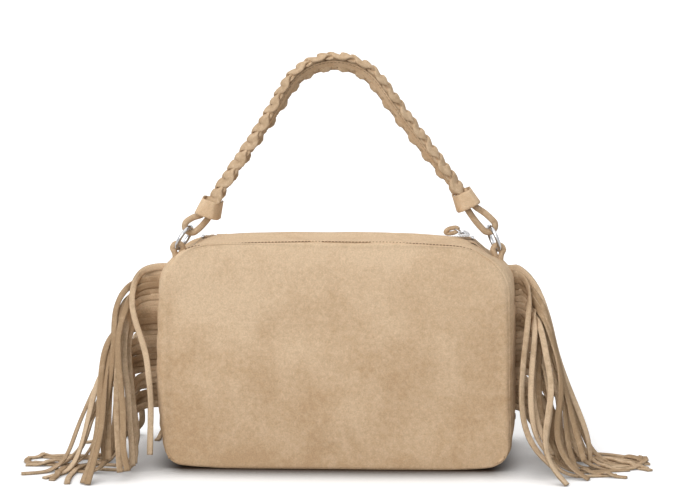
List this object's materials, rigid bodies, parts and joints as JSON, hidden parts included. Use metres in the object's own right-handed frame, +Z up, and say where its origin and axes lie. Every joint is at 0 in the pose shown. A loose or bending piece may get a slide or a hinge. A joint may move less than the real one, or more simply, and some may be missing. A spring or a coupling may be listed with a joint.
{
  "type": "handbag",
  "caption": "Boxy soft suede handbag with a zip along the top, a comb-cut fringe in the seam down each side, and a plaited handle hung from metal rings.",
  "frame": {"origin": "middle of the flat base, on the surface that the bag stands on", "axes": "+Z up, -Y the front, +X to the right of someone who looks at the front"},
  "size_m": [0.5176, 0.1981, 0.3297],
  "materials": {
    "suede": "napped, sand beige",
    "lining": "plain weave",
    "board": "matt",
    "zip_tape": "ribbed tape",
    "zip_coil": "satin coil",
    "polished_metal": "polished, silver"
  },
  "bodies": {
    "body": {"front_panel": "suede", "back_panel": "suede", "base_panel": "suede", "side_gusset_front_left": "suede", "side_gusset_front_right": "suede", "side_gusset_back_left": "suede", "side_gusset_back_right": "suede", "top_strip_front": "suede", "top_strip_back": "suede", "base_board": "board", "lining": "lining", "zip_tape_front": "zip_tape", "zip_tape_back": "zip_tape", "zip_coil_front": "zip_coil", "zip_coil_back": "zip_coil", "zip_stop_left": "polished_metal", "zip_stop_right": "polished_metal", "tab_loop_left": "suede", "tab_loop_right": "suede", "fringe_left": "suede", "fringe_right": "suede"},
    "ring_left": {"ring_left": "polished_metal"},
    "ring_right": {"ring_right": "polished_metal"},
    "slider": {"zip_slider": "polished_metal"},
    "pull": {"zip_pull_ring": "polished_metal", "zip_pull": "suede"},
    "handle": {"handle_loop_left": "suede", "handle_loop_right": "suede", "keeper_left": "suede", "keeper_right": "suede", "plait_strand_1": "suede", "plait_strand_2": "suede", "plait_strand_3": "suede", "plait_strand_4": "suede", "handle_band": "suede"}
  },
  "joints": [
    {"name": "ring_left_swing", "type": "hinge", "parent": "body", "child": "ring_left", "pos_m": [-0.131, 0, 0.1752], "axis": [1, 0, 0], "range_deg": [-25, 25]},
    {"name": "ring_right_swing", "type": "hinge", "parent": "body", "child": "ring_right", "pos_m": [0.131, 0, 0.1752], "axis": [1, 0, 0], "range_deg": [-25, 25]},
    {"name": "handle_swing", "type": "hinge", "parent": "ring_left", "child": "handle", "pos_m": [0, 0, 0.1866], "axis": [1, 0, 0], "range_deg": [-20, 20]},
    {"name": "zip_slide", "type": "slide", "parent": "body", "child": "slider", "axis": [1, 0, 0], "range_m": [-0.188, 0]},
    {"name": "pull_flip", "type": "hinge", "parent": "slider", "child": "pull", "pos_m": [0.1032, 0, 0.1846], "axis": [0, 1, 0], "range_deg": [0, 60]}
  ],
  "couplings": [
    {"joint": "ring_right_swing", "follows": "ring_left_swing", "ratio": 1}
  ]
}
